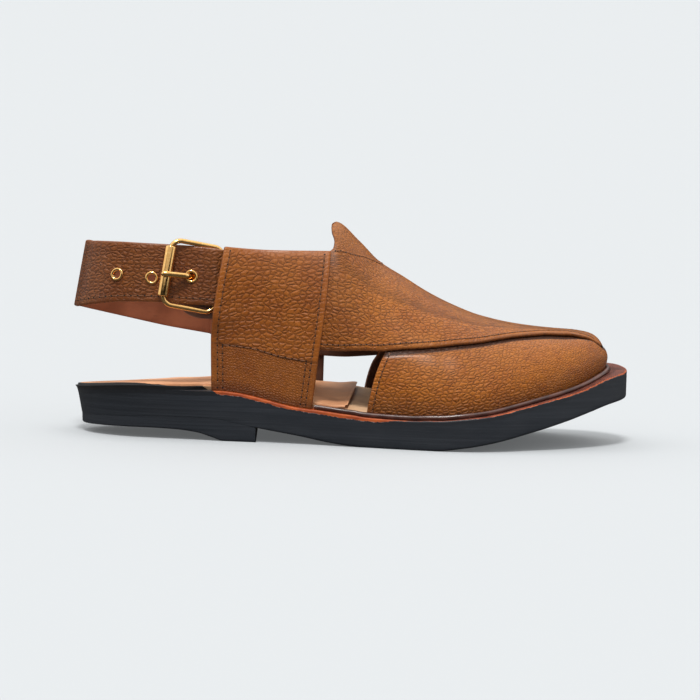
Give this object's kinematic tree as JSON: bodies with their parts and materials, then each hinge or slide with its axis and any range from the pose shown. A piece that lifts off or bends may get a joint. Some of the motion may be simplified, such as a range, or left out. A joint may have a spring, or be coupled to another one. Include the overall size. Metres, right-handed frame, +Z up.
{
  "type": "sandal",
  "caption": "Right closed-toe leather sandal with two crossed upper layers, side bands, a buckled heel strap and a rubber sole with a low heel.",
  "frame": {"origin": "on the floor under the middle of the sole's bounding box", "axes": "+X from heel to toe, +Y towards the shoe's inner side, +Z up"},
  "size_m": [0.295, 0.1058, 0.1155],
  "materials": {
    "sole_rubber": "near-black rubber, satin, faint lines along the side",
    "welt_leather": "orange-red leather, satin, rough painted edge",
    "rand_leather": "dark brown bead, glossy",
    "insole_leather": "dark brown leather, satin",
    "sock_leather": "smooth tan lining leather, satin",
    "grained_leather": "tan pebble-grained leather, semi-gloss, stitched edges",
    "pad_leather": "dark brown leather, satin",
    "gold_metal": "polished gold-coloured metal"
  },
  "bodies": {
    "root": {"outsole": "sole_rubber", "heel_lift": "sole_rubber", "midsole": "welt_leather", "rand": "rand_leather", "insole": "insole_leather", "heel_sock": "sock_leather", "upper": "grained_leather", "heel_strap": "grained_leather", "buckle_pad": "pad_leather", "buckle_frame": "gold_metal", "buckle_roller": "gold_metal", "buckle_prong": "gold_metal", "eyelet_1": "gold_metal", "eyelet_2": "gold_metal", "eyelet_3": "gold_metal"}
  },
  "joints": []
}
